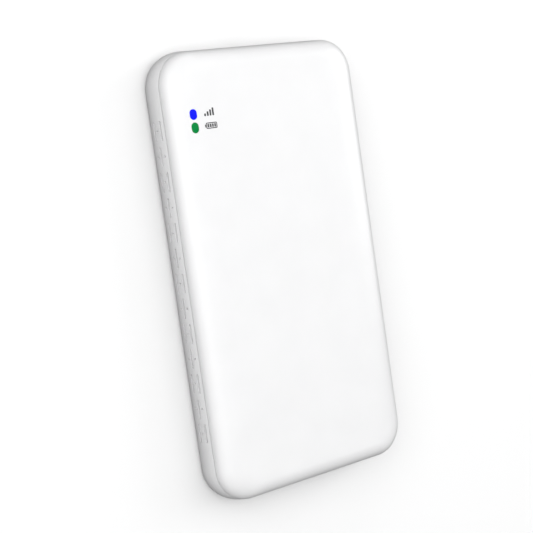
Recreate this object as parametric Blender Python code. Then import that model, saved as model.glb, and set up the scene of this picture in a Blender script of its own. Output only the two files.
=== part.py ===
"""Mobile hotspot: a white pocket router with its own battery, lying flat on its back.

Metres. The origin is at the middle of the back face, +Z runs out of the front face,
+Y towards the end wall that holds the ports, and +X to the right of someone who looks
at the front with that end up.
"""

import math

import bmesh
import bpy
from mathutils import Matrix, Vector

# Case
WIDTH = 0.0700
LENGTH = 0.1260
THICKNESS = 0.0140
CORNER_RADIUS = 0.0103
PARTING_HEIGHT = 0.0083
PARTING_GAP = 0.0003
FRONT_CURVE = 0.0080
BACK_CURVE = 0.0024
WALL = 0.0016
SKIN = 0.0014
GAP = 0.0003
TONGUE = 0.0008
TONGUE_DEPTH = 0.0007
SMALLEST_RADIUS = 0.0010

# Levels of the stack inside, counted from the back face
REAR_RIM = PARTING_HEIGHT - PARTING_GAP / 2
FRONT_RIM = PARTING_HEIGHT + PARTING_GAP / 2
CEILING = THICKNESS - SKIN
BOARD_BOTTOM = 0.0064
BOARD_THICKNESS = 0.0010
BOARD_TOP = BOARD_BOTTOM + BOARD_THICKNESS
CHIP_LEVEL = BOARD_TOP + GAP
PLATE_BOTTOM = 0.0092
PLATE_THICKNESS = 0.0010
PLATE_TOP = PLATE_BOTTOM + PLATE_THICKNESS

# Vents in both long walls: three rows of short slots with a dot between them
VENT_COLUMNS = 13
VENT_PITCH = 0.0070
VENT_ROWS = (0.0040, 0.0054, 0.0068)
VENT_SLOT_LENGTH = 0.0055
VENT_WIDTH = 0.0007

# Lamps, seen through two oblong windows in the front
LAMP_X = -0.02825
LAMP_YS = {"signal": 0.04515, "battery": 0.04150}
LAMP_SIZE = (0.0021, 0.0029)
LAMP_PLAY = 0.0002

# End wall with the ports
END_INSIDE = LENGTH / 2 - WALL
PORT_RECESS = 0.00015
USB_X = 0.0
USB_Z = 0.0045
USB_SIZE = (0.00894, 0.0032)
USB_LENGTH = 0.0071
USB_RECESS = 0.00065
USB_SHEET = 0.0003
POWER_X = -0.0120
POWER_Z = 0.0050
POWER_SIZE = (0.0086, 0.0026)
FLANGE_SIZE = (0.0100, 0.0036)
FLANGE_DEPTH = 0.0008
SWITCH_Z = 0.00505
RESET_X = -0.0210
RESET_HOLE_RADIUS = 0.00065
TRAY_X = 0.0155
TRAY_Z = 0.0049
TRAY_DOOR_SIZE = (0.0128, 0.0024)
CARD_SIZE = (0.0088, 0.0123)
CARD_THICKNESS = 0.00067
CARD_CORNER = 0.0017
NAIL_RECESS_SIZE = (0.0060, 0.0030)
NAIL_RECESS_DEPTH = 0.0010

# Screws
FRAME_SCREW_PLACES = ((-0.0282, 0.0552), (0.0282, 0.0552), (-0.0282, -0.0552), (0.0282, -0.0552))
BOARD_SCREW_PLACES = ((-0.0285, 0.0160), (0.0285, 0.0160))
SCREW_RADIUS = 0.0008
SCREW_HOLE_RADIUS = SCREW_RADIUS + GAP
SCREW_HEAD_RADIUS = 0.0016
SCREW_HEAD_HEIGHT = 0.0009
BOSS_RADIUS = 0.0022
BOSS_HOLE_DEPTH = 0.0038
CROSS_SIZE = (0.0016, 0.0004)
CROSS_DEPTH = 0.0005

# Rating label on the back
LABEL_SIZE = (0.0420, 0.0240)
LABEL_Y = -0.0310
LABEL_THICKNESS = 0.00015
LABEL_RECESS_DEPTH = 0.00035

# Battery
CELL_SIZE = (0.0500, 0.0605, 0.0066)
CELL_PLACE = (0.0, -0.02725, 0.0022)

# Faceting
CORNER_STEPS = 8
CURVE_STEPS = 6
SMALL_STEPS = 3
ROUND_SIDES = 12
WELD = 1e-7
SMOOTH_ANGLE = math.radians(35)

# Colour, roughness and metallic value of each finish
LOOKS = {
    "white_plastic": ((0.90, 0.90, 0.90), 0.28, 0.0),
    "dark_plastic": ((0.06, 0.06, 0.065), 0.55, 0.0),
    "board": ((0.02, 0.16, 0.09), 0.45, 0.0),
    "steel": ((0.62, 0.62, 0.64), 0.30, 1.0),
    "chip": ((0.03, 0.03, 0.035), 0.50, 0.0),
    "copper": ((0.72, 0.45, 0.28), 0.35, 1.0),
    "foil": ((0.70, 0.71, 0.73), 0.40, 1.0),
    "tape": ((0.80, 0.78, 0.70), 0.60, 0.0),
    "foam": ((0.10, 0.10, 0.11), 0.90, 0.0),
    "label": ((0.86, 0.86, 0.86), 0.60, 0.0),
    "blue_lens": ((0.01, 0.02, 0.90), 0.25, 0.0),
    "green_lens": ((0.00, 0.30, 0.06), 0.25, 0.0),
    "lamp": ((0.85, 0.82, 0.60), 0.40, 0.0),
    "red_wire": ((0.60, 0.03, 0.03), 0.45, 0.0),
    "black_wire": ((0.02, 0.02, 0.02), 0.45, 0.0),
    "contact_block": ((0.03, 0.03, 0.03), 0.40, 0.0),
    "sim_plastic": ((0.85, 0.85, 0.83), 0.40, 0.0),
}


def clear_scene():
    for old in list(bpy.data.objects):
        bpy.data.objects.remove(old, do_unlink=True)


def principled(name, look):
    colour, roughness, metallic = LOOKS[look]
    made = bpy.data.materials.new(name + "_" + look)
    made.use_nodes = True
    shader = made.node_tree.nodes["Principled BSDF"]
    shader.inputs["Base Color"].default_value = (*colour, 1.0)
    shader.inputs["Roughness"].default_value = roughness
    shader.inputs["Metallic"].default_value = metallic
    made.diffuse_color = (*colour, 1.0)
    return made


def place_object(piece, place, carrier):
    bpy.context.scene.collection.objects.link(piece)
    piece.parent = carrier
    piece.location = Vector(place) - (carrier.location if carrier else Vector())


def add(name, bm, place, look=None, carrier=None):
    """The object of a bmesh. Without a look it is a tool for a Boolean, which isn't a piece."""
    bmesh.ops.remove_doubles(bm, verts=bm.verts, dist=WELD)
    bmesh.ops.recalc_face_normals(bm, faces=bm.faces)
    mesh = bpy.data.meshes.new(name)
    bm.to_mesh(mesh)
    bm.free()
    mesh.shade_smooth()
    mesh.set_sharp_from_angle(angle=SMOOTH_ANGLE)
    piece = bpy.data.objects.new(name, mesh)
    place_object(piece, place, carrier)
    if look:
        mesh.materials.append(principled(name, look))
    else:
        piece.hide_render = True
        piece.display_type = "WIRE"
    return piece


def carrier_at(name, place):
    """The empty on a joint's axis that carries what moves with it."""
    empty = bpy.data.objects.new(name, None)
    empty.empty_display_size = 0.003
    bpy.context.scene.collection.objects.link(empty)
    empty.location = place
    return empty


def rounded(width, height, radius, steps=SMALL_STEPS):
    """Points anticlockwise round a rectangle with round corners, about its middle."""
    radius = min(radius, width / 2, height / 2)
    points = []
    for quarter, (side, end) in enumerate(((1, 1), (-1, 1), (-1, -1), (1, -1))):
        for step in range(steps + 1):
            angle = math.pi / 2 * (quarter + step / steps)
            points.append(
                (
                    side * (width / 2 - radius) + radius * math.cos(angle),
                    end * (height / 2 - radius) + radius * math.sin(angle),
                )
            )
    return points


def rectangle(width, height):
    half_x, half_y = width / 2, height / 2
    return [(half_x, half_y), (-half_x, half_y), (-half_x, -half_y), (half_x, -half_y)]


def oblong(width, height, steps=SMALL_STEPS):
    return rounded(width, height, min(width, height) / 2, steps)


def circle(radius, sides=ROUND_SIDES):
    return [
        (radius * math.cos(2 * math.pi * side / sides), radius * math.sin(2 * math.pi * side / sides))
        for side in range(sides)
    ]


def swept(bm, outline, start, depth, along="Z"):
    """Adds a closed prism: the outline from start over depth, along Z, or along Y with the outline in X, Z."""
    if along == "Z":
        corners = [(start[0] + a, start[1] + b, start[2]) for a, b in outline]
        path = (0.0, 0.0, depth)
    else:
        corners = [(start[0] + a, start[1], start[2] + b) for a, b in outline]
        path = (0.0, depth, 0.0)
    verts = [bm.verts.new(corner) for corner in corners]
    bmesh.ops.remove_doubles(bm, verts=verts, dist=WELD)
    face = bm.faces.new([vert for vert in verts if vert.is_valid])
    swept_parts = bmesh.ops.extrude_face_region(bm, geom=[face])["geom"]
    moved = [part for part in swept_parts if isinstance(part, bmesh.types.BMVert)]
    bmesh.ops.translate(bm, verts=moved, vec=path)


def prism(name, outline, depth, place, look=None, carrier=None, along="Z"):
    bm = bmesh.new()
    swept(bm, outline, (0.0, 0.0, 0.0), depth, along)
    return add(name, bm, place, look, carrier)


def boolean(piece, tool, operation):
    modifier = piece.modifiers.new(tool.name, "BOOLEAN")
    modifier.operation = operation
    modifier.solver = "EXACT"
    modifier.object = tool


def cut(piece, tool):
    boolean(piece, tool, "DIFFERENCE")


def join(piece, tool):
    boolean(piece, tool, "UNION")


def ring_solid(name, rings, look):
    """Closed case wall through rings given as (inset from the outline, height), capped at both ends."""
    bm = bmesh.new()
    loops = []
    for inset, height in rings:
        outline = rounded(
            WIDTH - 2 * inset,
            LENGTH - 2 * inset,
            max(CORNER_RADIUS - inset, SMALLEST_RADIUS),
            CORNER_STEPS,
        )
        verts = [bm.verts.new((x, y, height)) for x, y in outline]
        loops.append(verts)
    count = len(loops[0])
    for below, above in zip(loops, loops[1:]):
        for here in range(count):
            after = (here + 1) % count
            bm.faces.new((below[here], below[after], above[after], above[here]))
    bm.faces.new(loops[0])
    bm.faces.new(loops[-1])
    return add(name, bm, (0.0, 0.0, 0.0), look)


def quarter_curve(outer, inner, steps=CURVE_STEPS):
    """Rings of a quarter ellipse from outer to inner, each (inset, height); it leaves outer upright."""
    rings = []
    for step in range(steps + 1):
        angle = math.pi / 2 * step / steps
        inset = outer[0] + (inner[0] - outer[0]) * (1 - math.cos(angle))
        height = outer[1] + (inner[1] - outer[1]) * math.sin(angle)
        rings.append((inset, height))
    return rings


def smooth_route(points, steps):
    """Points of a smooth curve through the given ones (Catmull-Rom)."""
    ends = [Vector(point) for point in points]
    ends = [2 * ends[0] - ends[1], *ends, 2 * ends[-1] - ends[-2]]
    route = []
    for before, start, end, after in zip(ends, ends[1:], ends[2:], ends[3:]):
        for step in range(steps):
            t = step / steps
            route.append(
                0.5
                * (
                    2 * start
                    + (end - before) * t
                    + (2 * before - 5 * start + 4 * end - after) * t**2
                    + (3 * start - before - 3 * end + after) * t**3
                )
            )
    return [*route, ends[-2]]


def tube(name, points, radius, look, steps=4):
    """A wire or coaxial lead along a smooth route."""
    route = smooth_route(points, steps)
    line = bpy.data.curves.new(name, "CURVE")
    line.dimensions = "3D"
    line.bevel_depth = radius
    line.bevel_resolution = 1
    line.use_fill_caps = True
    spline = line.splines.new("POLY")
    spline.points.add(len(route) - 1)
    for point, place in zip(spline.points, route):
        point.co = (*(place - route[0]), 1.0)
    line.materials.append(principled(name, look))
    piece = bpy.data.objects.new(name, line)
    place_object(piece, route[0], None)
    return piece


# ---- Case ----


def vent_tool():
    """One bar through both long walls for each slot and dot. Columns alternate: two slots, then one."""
    bm = bmesh.new()
    middle = (VENT_COLUMNS - 1) / 2
    for column in range(VENT_COLUMNS):
        for row, height in enumerate(VENT_ROWS):
            is_slot = (column + row) % 2 == 0
            size = (WIDTH * 1.1, VENT_SLOT_LENGTH if is_slot else VENT_WIDTH, VENT_WIDTH)
            place = Matrix.Translation((0.0, (middle - column) * VENT_PITCH, height))
            bmesh.ops.create_cube(bm, size=1.0, matrix=place @ Matrix.Diagonal((*size, 1.0)))
    return add("vent_tool", bm, (0.0, 0.0, 0.0))


def join_bosses(shell):
    """Posts that rise from the floor to the board or to the frame plate, each with a blind screw hole."""
    foot = SKIN / 2
    seats = [(place, BOARD_BOTTOM - GAP) for place in BOARD_SCREW_PLACES]
    for place in FRAME_SCREW_PLACES:
        seats.append((place, (BOARD_BOTTOM if place[1] > 0 else PLATE_BOTTOM) - GAP))
    for number, ((x, y), top) in enumerate(seats, 1):
        join(shell, prism(f"boss_{number}", circle(BOSS_RADIUS), top - foot, (x, y, foot)))
    for number, ((x, y), top) in enumerate(seats, 1):
        hole = prism(
            f"boss_hole_{number}",
            circle(SCREW_HOLE_RADIUS, 8),
            BOSS_HOLE_DEPTH + 0.0010,
            (x, y, top - BOSS_HOLE_DEPTH),
        )
        cut(shell, hole)


def cut_ports(shell):
    start, depth = END_INSIDE - 0.0008, WALL + 0.0020
    play = 2 * GAP
    openings = {
        "usb_opening": (oblong(USB_SIZE[0] + play, USB_SIZE[1] + play), USB_X, USB_Z),
        "power_opening": (oblong(POWER_SIZE[0] + play, POWER_SIZE[1] + play), POWER_X, POWER_Z),
        "reset_opening": (circle(RESET_HOLE_RADIUS, 8), RESET_X, POWER_Z),
        "tray_opening": (oblong(TRAY_DOOR_SIZE[0] + play, TRAY_DOOR_SIZE[1] + play), TRAY_X, TRAY_Z),
    }
    for name, (outline, x, z) in openings.items():
        cut(shell, prism(name, outline, depth, (x, start, z), along="Y"))
    nail_place = (TRAY_X, LENGTH / 2 - NAIL_RECESS_DEPTH, TRAY_Z - TRAY_DOOR_SIZE[1] / 2)
    cut(shell, prism("nail_recess", oblong(*NAIL_RECESS_SIZE), depth, nail_place, along="Y"))


def rear_shell():
    outside = quarter_curve((0.0, REAR_RIM), (BACK_CURVE, 0.0))
    inside = [(WALL, REAR_RIM), (WALL, 0.0038), (WALL + 0.0005, 0.0022), (WALL + 0.0020, SKIN)]
    shell = ring_solid("rear_shell", [*reversed(outside), *inside], "white_plastic")
    cut(shell, vent_tool())
    join_bosses(shell)
    cut_ports(shell)
    recess = rounded(LABEL_SIZE[0] + 2 * GAP, LABEL_SIZE[1] + 2 * GAP, 0.0015)
    below = 0.0010
    cut(shell, prism("label_recess", recess, below + LABEL_RECESS_DEPTH, (0.0, LABEL_Y, -below)))


def front_cover():
    outside = quarter_curve((0.0, FRONT_RIM), (FRONT_CURVE, THICKNESS))
    tongue_out = WALL + GAP
    tongue_in = tongue_out + TONGUE
    tongue_foot = FRONT_RIM - TONGUE_DEPTH
    inside = quarter_curve((tongue_in, FRONT_RIM + 0.0005), (FRONT_CURVE + 0.0012, CEILING))
    rim = [(tongue_out, FRONT_RIM), (tongue_out, tongue_foot), (tongue_in, tongue_foot)]
    cover = ring_solid("front_cover", [*reversed(outside), *rim, *inside], "white_plastic")
    for lamp, y in LAMP_YS.items():
        window = oblong(LAMP_SIZE[0] + 2 * LAMP_PLAY, LAMP_SIZE[1] + 2 * LAMP_PLAY)
        cut(cover, prism(f"{lamp}_window", window, 0.0080, (LAMP_X, y, 0.0100)))


def rating_label():
    """A blank adhesive label that lies just inside the back face."""
    bottom = LABEL_RECESS_DEPTH - LABEL_THICKNESS - GAP / 2
    prism("rating_label", rounded(*LABEL_SIZE, 0.0012), LABEL_THICKNESS, (0.0, LABEL_Y, bottom), "label")


def mid_frame():
    """The moulded plate over battery and board. Two tubular legs reach down to the board."""
    outline = rounded(0.0610, 0.1176, 0.0045)
    plate = prism("mid_frame", outline, PLATE_THICKNESS, (0.0, 0.0, PLATE_BOTTOM), "dark_plastic")
    leg_foot = BOARD_TOP + GAP
    leg_height = PLATE_BOTTOM + PLATE_THICKNESS / 2 - leg_foot
    for number, (x, y) in enumerate(FRAME_SCREW_PLACES[:2], 1):
        join(plate, prism(f"frame_leg_{number}", circle(BOSS_RADIUS), leg_height, (x, y, leg_foot)))
    for number, (x, y) in enumerate(FRAME_SCREW_PLACES, 1):
        hole = circle(SCREW_HOLE_RADIUS, 8)
        cut(plate, prism(f"frame_hole_{number}", hole, 0.0060, (x, y, 0.0060)))
    windows = {
        "cell_window": (rounded(0.0420, 0.0450, 0.0020), (0.0, -0.0235)),
        "board_window": (rounded(0.0400, 0.0220, 0.0020), (0.0020, 0.0310)),
        "lamp_window": (rectangle(0.0030, 0.0074), (LAMP_X, 0.04335)),
        "lead_window": (rectangle(0.0030, 0.0040), (0.0270, 0.0198)),
        "lead_notch": (rectangle(0.0040, 0.0050), (0.0302, -0.0480)),
        "contact_window": (rectangle(0.0040, 0.0050), (0.0165, 0.0470)),
    }
    for name, (outline, (x, y)) in windows.items():
        cut(plate, prism(name, outline, 0.0030, (x, y, PLATE_BOTTOM - 0.0010)))


# ---- Board and what it carries ----


def main_board():
    outline = rounded(0.0640, 0.0482, 0.0070)
    board = prism("main_board", outline, BOARD_THICKNESS, (0.0, 0.0356, BOARD_BOTTOM), "board")
    places = [*FRAME_SCREW_PLACES[:2], *BOARD_SCREW_PLACES]
    for number, (x, y) in enumerate(places, 1):
        hole = circle(SCREW_HOLE_RADIUS, 8)
        cut(board, prism(f"board_hole_{number}", hole, 0.0030, (x, y, BOARD_BOTTOM - 0.0010)))


def shields():
    """Drawn steel cans, open underneath, over the radio circuits."""
    height, sheet = 0.0012, 0.0002
    cans = {
        "modem_shield": ((-0.0080, 0.0340), (0.0240, 0.0240)),
        "wifi_shield": ((0.0170, 0.0330), (0.0160, 0.0180)),
    }
    for name, ((x, y), (width, length)) in cans.items():
        can = prism(name, rounded(width, length, 0.0008), height, (x, y, CHIP_LEVEL), "steel")
        inside = rounded(width - 2 * sheet, length - 2 * sheet, 0.0006)
        cut(can, prism(f"{name}_inside", inside, height, (x, y, CHIP_LEVEL - sheet)))


def chips():
    packages = {
        "baseband_chip": ((0.0120, 0.0120, 0.00065), (-0.0120, 0.0380)),
        "memory_chip": ((0.0080, 0.0090, 0.00065), (-0.0010, 0.0390)),
        "power_amplifier": ((0.0060, 0.0050, 0.00065), (-0.0080, 0.0270)),
        "wifi_chip": ((0.0070, 0.0070, 0.00065), (0.0170, 0.0330)),
        "charger_chip": ((0.0050, 0.0050, 0.00085), (0.0060, 0.0170)),
    }
    for name, ((width, length, height), (x, y)) in packages.items():
        prism(name, rectangle(width, length), height, (x, y, CHIP_LEVEL), "chip")


def lamps():
    """A light-emitting diode on the board under each window, and the clear pin that carries its light up."""
    lenses = {"signal": "blue_lens", "battery": "green_lens"}
    guide_foot = 0.0086
    guide_top = 0.0137
    for lamp, y in LAMP_YS.items():
        prism(f"{lamp}_lamp", rectangle(0.0016, 0.0012), 0.0006, (LAMP_X, y, CHIP_LEVEL), "lamp")
        outline = oblong(*LAMP_SIZE)
        prism(f"{lamp}_light_guide", outline, guide_top - guide_foot, (LAMP_X, y, guide_foot), lenses[lamp])
    middle = sum(LAMP_YS.values()) / 2
    gasket = prism("lamp_gasket", rounded(0.0035, 0.0086, 0.0005), 0.0007, (LAMP_X, middle, PLATE_TOP + GAP), "foam")
    for lamp, y in LAMP_YS.items():
        hole = oblong(LAMP_SIZE[0] + 2 * LAMP_PLAY, LAMP_SIZE[1] + 2 * LAMP_PLAY)
        cut(gasket, prism(f"{lamp}_gasket_hole", hole, 0.0020, (LAMP_X, y, PLATE_TOP)))


def usb_port():
    """A USB-C receptacle: the drawn shell, and the contact tongue on its block."""
    start = LENGTH / 2 - USB_RECESS - USB_LENGTH
    shell = prism("usb_c_shell", oblong(*USB_SIZE), USB_LENGTH, (USB_X, start, USB_Z), "steel", along="Y")
    hollow = oblong(USB_SIZE[0] - 2 * USB_SHEET, USB_SIZE[1] - 2 * USB_SHEET)
    cut(shell, prism("usb_hollow", hollow, USB_LENGTH * 2, (USB_X, start - USB_LENGTH / 2, USB_Z), along="Y"))
    block_depth, blade_length = 0.0012, 0.0056
    block = oblong(0.0076, 0.0020)
    tongue = prism("usb_c_tongue", block, block_depth, (USB_X, start + GAP, USB_Z), "contact_block", along="Y")
    blade = rectangle(0.0067, 0.0007)
    blade_place = (USB_X, start + GAP + block_depth / 2, USB_Z)
    join(tongue, prism("usb_blade", blade, blade_length, blade_place, along="Y"))


def power_button():
    """The cap in its opening, and the switch behind it, whose plunger the cap's flange meets."""
    overlap = 0.0004
    flange_face = END_INSIDE - GAP
    boss_start = flange_face - overlap
    boss_depth = LENGTH / 2 - PORT_RECESS - boss_start
    axis = carrier_at("power_button_axis", (POWER_X, flange_face, POWER_Z))
    flange_place = (POWER_X, flange_face - FLANGE_DEPTH, POWER_Z)
    flange = oblong(*FLANGE_SIZE)
    cap = prism("power_button_cap", flange, FLANGE_DEPTH, flange_place, "white_plastic", axis, "Y")
    boss = oblong(*POWER_SIZE, 4)
    join(cap, prism("power_boss", boss, boss_depth, (POWER_X, boss_start, POWER_Z), None, axis, "Y"))
    switch_start, switch_depth, pocket_depth = 0.0560, 0.0034, 0.0015
    body = rectangle(0.0060, 0.0021)
    switch = prism("power_switch", body, switch_depth, (POWER_X, switch_start, SWITCH_Z), "chip", along="Y")
    pocket = rectangle(0.0036, 0.0016)
    pocket_place = (POWER_X, switch_start + switch_depth - pocket_depth, POWER_Z)
    cut(switch, prism("power_pocket", pocket, 2 * pocket_depth, pocket_place, along="Y"))
    plunger_place = (POWER_X, 0.0584, POWER_Z)
    prism("power_switch_plunger", rectangle(0.0030, 0.0010), 0.0016, plunger_place, "contact_block", axis, "Y")


def reset_button():
    """A switch behind a pinhole: the pin of a paper clip presses its round plunger."""
    axis = carrier_at("reset_axis", (RESET_X, END_INSIDE, POWER_Z))
    body = rectangle(0.0040, 0.0021)
    switch = prism("reset_switch", body, 0.0027, (RESET_X, 0.0565, SWITCH_Z), "chip", along="Y")
    cut(switch, prism("reset_pocket", circle(0.0009, 8), 0.0030, (RESET_X, 0.0578, POWER_Z), along="Y"))
    prism("reset_plunger", circle(0.0006, 10), 0.0026, (RESET_X, 0.0583, POWER_Z), "contact_block", axis, "Y")


def sim_slot():
    """The tray with its door in the end wall, the card in it, and the steel socket under the board."""
    socket_low, socket_start, socket_end = 0.0038, 0.0425, 0.0595
    socket_height = BOARD_BOTTOM - GAP - socket_low
    socket_length = socket_end - socket_start
    socket_middle = (socket_start + socket_end) / 2
    outline = rectangle(0.0132, socket_length)
    socket = prism("sim_socket", outline, socket_height, (TRAY_X, socket_middle, socket_low), "steel")
    room = rectangle(0.0122, socket_length)
    cut(socket, prism("socket_room", room, 0.00185, (TRAY_X, socket_middle + 0.0004, 0.0040)))

    axis = carrier_at("sim_tray_axis", (TRAY_X, END_INSIDE, TRAY_Z))
    door_start = END_INSIDE - 0.0005
    door_depth = LENGTH / 2 - PORT_RECESS - door_start
    door = oblong(*TRAY_DOOR_SIZE, 4)
    tray = prism("sim_tray", door, door_depth, (TRAY_X, door_start, TRAY_Z), "white_plastic", axis, "Y")
    frame_low, frame_height, frame_floor = 0.0043, 0.0010, 0.0002
    frame_start = socket_start + 0.0007
    frame_length = door_start + 0.0004 - frame_start
    frame_place = (TRAY_X, frame_start + frame_length / 2, frame_low)
    frame = rounded(0.0114, frame_length, 0.0008)
    join(tray, prism("tray_frame", frame, frame_height, frame_place, None, axis))
    card_middle = frame_start + 0.0012 + CARD_SIZE[1] / 2
    pocket = rectangle(CARD_SIZE[0] + 2 * GAP, CARD_SIZE[1] + 2 * GAP)
    pocket_place = (TRAY_X, card_middle, frame_low + frame_floor)
    cut(tray, prism("card_pocket", pocket, 0.0020, pocket_place, None, axis))
    ledge = 0.0012
    window = rectangle(CARD_SIZE[0] - 2 * ledge, CARD_SIZE[1] - 2 * ledge)
    cut(tray, prism("card_window", window, 0.0020, (TRAY_X, card_middle, frame_low - 0.0005), None, axis))

    half_x, half_y = CARD_SIZE[0] / 2, CARD_SIZE[1] / 2
    card = [(half_x, half_y - CARD_CORNER), (half_x - CARD_CORNER, half_y), (-half_x, half_y)]
    card += [(-half_x, -half_y), (half_x, -half_y)]
    card_place = (TRAY_X, card_middle, frame_low + frame_floor + GAP)
    prism("sim_card", card, CARD_THICKNESS, card_place, "sim_plastic", axis)


# ---- Battery ----


def battery():
    """A pouch cell with its sealed terrace, the protection board on that, tape, foam, leads and plug."""
    width, length, height = CELL_SIZE
    x, y, z = CELL_PLACE
    start, end = y - length / 2, y + length / 2
    pouch = rounded(width, height, 0.0016)
    cell = prism("battery_cell", pouch, length, (x, start, z + height / 2), "foil", along="Y")
    terrace = rectangle(width - 0.0040, 0.0043)
    join(cell, prism("cell_terrace", terrace, 0.0012, (x, end + 0.00135, z + 0.0004)))
    guard_place = (x, end + 0.0019, z + 0.0019)
    prism("battery_protection_board", rectangle(0.0320, 0.0030), 0.0008, guard_place, "board")
    prism("battery_tape", rounded(0.0300, 0.0440, 0.0010), 0.0002, (x, y, SKIN + GAP), "tape")
    prism("cell_foam_pad", rounded(0.0280, 0.0360, 0.0010), 0.0032, (x, -0.0260, z + height + GAP), "foam")

    socket_x, socket_y = -0.0060, 0.0142
    prism("battery_socket", rectangle(0.0060, 0.0034), 0.0013, (socket_x, socket_y, CHIP_LEVEL), "contact_block")
    prism("battery_plug", rectangle(0.0052, 0.0026), 0.0010, (socket_x, 0.0109, 0.0079), "sim_plastic")
    lead_radius, lead_offset = 0.0004, 0.0013
    leads = {"battery_lead_red": (-1, "red_wire"), "battery_lead_black": (1, "black_wire")}
    for name, (side, look) in leads.items():
        lead_x = socket_x + side * lead_offset
        route = [
            (lead_x, end + 0.0038, 0.0045),
            (lead_x, end + 0.0050, 0.0047),
            (lead_x, end + 0.0058, 0.0060),
            (lead_x, end + 0.0056, 0.0078),
            (lead_x, end + 0.0063, 0.0084),
        ]
        tube(name, route, lead_radius, look, steps=3)


# ---- Antennas ----


def antennas():
    """Punched flexible antennas on the frame plate, each with slots that set its length."""
    level, sheet = PLATE_TOP + GAP, 0.00025
    strips = {
        "main_antenna": ((0.0, -0.0530), (0.0480, 0.0080), 5),
        "diversity_antenna": ((0.0, 0.0535), (0.0440, 0.0070), 4),
        "wifi_antenna": ((0.0262, 0.0), (0.0050, 0.0230), 0),
    }
    for name, ((x, y), (width, length), slots) in strips.items():
        strip = prism(name, rounded(width, length, 0.0005), sheet, (x, y, level), "copper")
        for slot in range(slots):
            slot_x = x + (slot - (slots - 1) / 2) * width / (slots + 1)
            slot_y = y + (0.0020 if slot % 2 else -0.0020)
            bar = rectangle(0.0012, length)
            cut(strip, prism(f"{name}_slot_{slot + 1}", bar, 0.0010, (slot_x, slot_y, level - 0.0004)))
    spring = [(0.0, 0.0), (0.0020, 0.0), (0.0020, 0.0003), (0.0003, 0.0003), (0.0003, 0.0015), (0.0018, 0.0024)]
    spring += [(0.0016, 0.0026), (0.0, 0.0016)]
    bm = bmesh.new()
    verts = [bm.verts.new((0.0, a, b)) for a, b in spring]
    face = bm.faces.new(verts)
    grown = bmesh.ops.extrude_face_region(bm, geom=[face])["geom"]
    moved = [part for part in grown if isinstance(part, bmesh.types.BMVert)]
    bmesh.ops.translate(bm, verts=moved, vec=(0.0012, 0.0, 0.0))
    add("diversity_contact", bm, (0.0158, 0.0465, CHIP_LEVEL), "copper")


def coaxial_leads():
    plugs = {"main_coax_plug": (0.0245, 0.0175), "wifi_coax_plug": (0.0200, 0.0205)}
    for name, (x, y) in plugs.items():
        prism(name, circle(0.0013), 0.0011, (x, y, CHIP_LEVEL), "copper")
    radius = 0.00040
    main_route = [
        (0.0245, 0.0158, 0.00825),
        (0.0252, 0.0120, 0.00825),
        (0.0282, 0.0070, 0.0074),
        (0.0292, 0.0000, 0.0068),
        (0.0293, -0.0220, 0.0066),
        (0.0293, -0.0420, 0.0068),
        (0.0293, -0.0468, 0.0088),
        (0.0287, -0.0492, 0.0107),
        (0.0268, -0.0505, 0.0109),
        (0.0247, -0.0505, 0.0109),
    ]
    wifi_route = [
        (0.0217, 0.0198, 0.00825),
        (0.0243, 0.0212, 0.00825),
        (0.0266, 0.0214, 0.0086),
        (0.0270, 0.0200, 0.0097),
        (0.0269, 0.0180, 0.0108),
        (0.0267, 0.0150, 0.0110),
        (0.0264, 0.0122, 0.0110),
    ]
    tube("main_coax", main_route, radius, "black_wire", steps=3)
    tube("wifi_coax", wifi_route, radius, "black_wire", steps=3)


# ---- Screws ----


def screw(name, place, head_level, length):
    """A pan-head screw with a cross recess; its shank hangs below the head."""
    x, y = place
    head = prism(name, circle(SCREW_HEAD_RADIUS), SCREW_HEAD_HEIGHT, (x, y, head_level), "steel")
    shank = prism(f"{name}_shank", circle(SCREW_RADIUS, 8), length + 0.0004, (x, y, head_level - length))
    join(head, shank)
    cross_level = head_level + SCREW_HEAD_HEIGHT - CROSS_DEPTH
    for number, size in enumerate((CROSS_SIZE, CROSS_SIZE[::-1]), 1):
        cut(head, prism(f"{name}_cross_{number}", rectangle(*size), 2 * CROSS_DEPTH, (x, y, cross_level)))


def screws():
    for number, place in enumerate(BOARD_SCREW_PLACES, 1):
        screw(f"board_screw_{number}", place, BOARD_TOP + GAP, 0.0045)
    for number, place in enumerate(FRAME_SCREW_PLACES, 1):
        length = 0.0072 if place[1] > 0 else 0.0045
        screw(f"frame_screw_{number}", place, PLATE_TOP + GAP, length)


def main():
    clear_scene()
    rear_shell()
    front_cover()
    rating_label()
    mid_frame()
    main_board()
    shields()
    chips()
    lamps()
    usb_port()
    power_button()
    reset_button()
    sim_slot()
    battery()
    antennas()
    coaxial_leads()
    screws()


main()
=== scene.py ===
import math

import bmesh
import bpy
from mathutils import Matrix, Vector


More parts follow.
